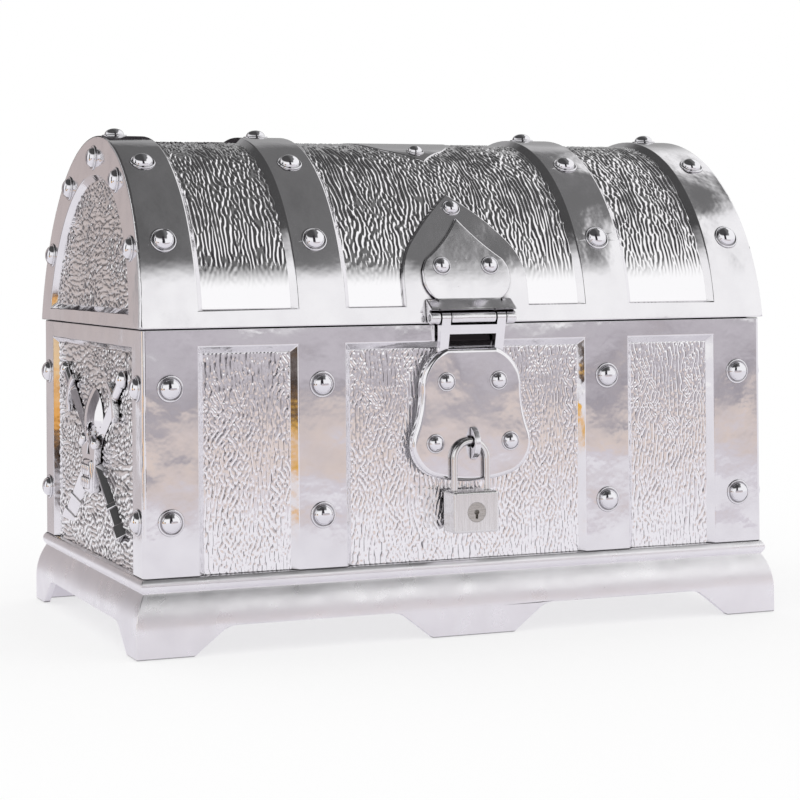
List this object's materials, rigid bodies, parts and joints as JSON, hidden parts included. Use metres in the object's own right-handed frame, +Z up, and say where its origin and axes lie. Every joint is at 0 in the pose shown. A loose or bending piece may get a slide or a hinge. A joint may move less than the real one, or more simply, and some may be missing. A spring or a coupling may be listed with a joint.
{
  "type": "treasure chest box",
  "caption": "Rectangular keepsake chest with an arched hinged lid, raised bands with domed studs, recessed grained panels, bracket feet, and a front hasp with a hanging padlock.",
  "frame": {"origin": "on the floor under the middle of the chest's footprint", "axes": "+X along the front to the right, +Y from the front to the back, +Z up"},
  "size_m": [0.2058, 0.1372, 0.1522],
  "materials": {
    "silver_moulding": "vacuum-metallised silver, mirror bright on bands and rails, cast wood grain in the panels",
    "stud_silver": "vacuum-metallised silver, polished dome",
    "hasp_silver": "vacuum-metallised silver, smooth",
    "hinge_metal": "vacuum-metallised silver, smooth",
    "pin_steel": "drawn steel wire",
    "padlock_metal": "nickel-plated, lightly brushed",
    "plug_metal": "turned face with a keyhole"
  },
  "bodies": {
    "chest": {"body_tub": "silver_moulding", "base_plinth": "silver_moulding", "front_studs": "stud_silver", "back_studs": "stud_silver", "left_end_studs": "stud_silver", "right_end_studs": "stud_silver", "left_emblem": "silver_moulding", "right_emblem": "silver_moulding", "rear_hinge_base_left": "hinge_metal", "rear_hinge_base_right": "hinge_metal", "rear_hinge_pin_left": "pin_steel", "rear_hinge_pin_right": "pin_steel"},
    "lid": {"lid_shell": "silver_moulding", "lid_front_low_studs": "stud_silver", "lid_front_high_studs": "stud_silver", "lid_ridge_studs": "stud_silver", "lid_back_high_studs": "stud_silver", "lid_back_low_studs": "stud_silver", "lid_left_end_studs": "stud_silver", "lid_right_end_studs": "stud_silver", "crest_studs": "stud_silver", "hasp_plate": "hasp_silver", "hasp_plate_studs": "stud_silver", "hasp_pin": "pin_steel", "rear_hinge_leaf_left": "hinge_metal", "rear_hinge_leaf_right": "hinge_metal"},
    "hasp": {"hasp_flap": "hasp_silver", "hasp_flap_studs": "stud_silver", "hasp_staple": "hasp_silver"},
    "shackle": {"padlock_shackle": "padlock_metal"},
    "padlock": {"padlock_case": "padlock_metal"},
    "lock_plug": {"padlock_plug": "plug_metal"}
  },
  "joints": [
    {"name": "lid_hinge", "type": "hinge", "parent": "chest", "child": "lid", "pos_m": [0, 0.0649, 0.092], "axis": [-1, 0, 0], "range_deg": [0, 105]},
    {"name": "hasp_hinge", "type": "hinge", "parent": "lid", "child": "hasp", "pos_m": [0, -0.0632, 0.094], "axis": [-1, 0, 0], "range_deg": [0, 95]},
    {"name": "shackle_swing", "type": "hinge", "parent": "hasp", "child": "shackle", "pos_m": [0, -0.06465, 0.0573], "axis": [-1, 0, 0], "range_deg": [0, 80]},
    {"name": "case_drop", "type": "slide", "parent": "shackle", "child": "padlock", "axis": [0, 0, -1], "range_m": [0, 0.0045]},
    {"name": "plug_turn", "type": "hinge", "parent": "padlock", "child": "lock_plug", "pos_m": [-0.0015, -0.06465, 0.03692], "axis": [0, -1, 0], "range_deg": [0, 90]}
  ]
}
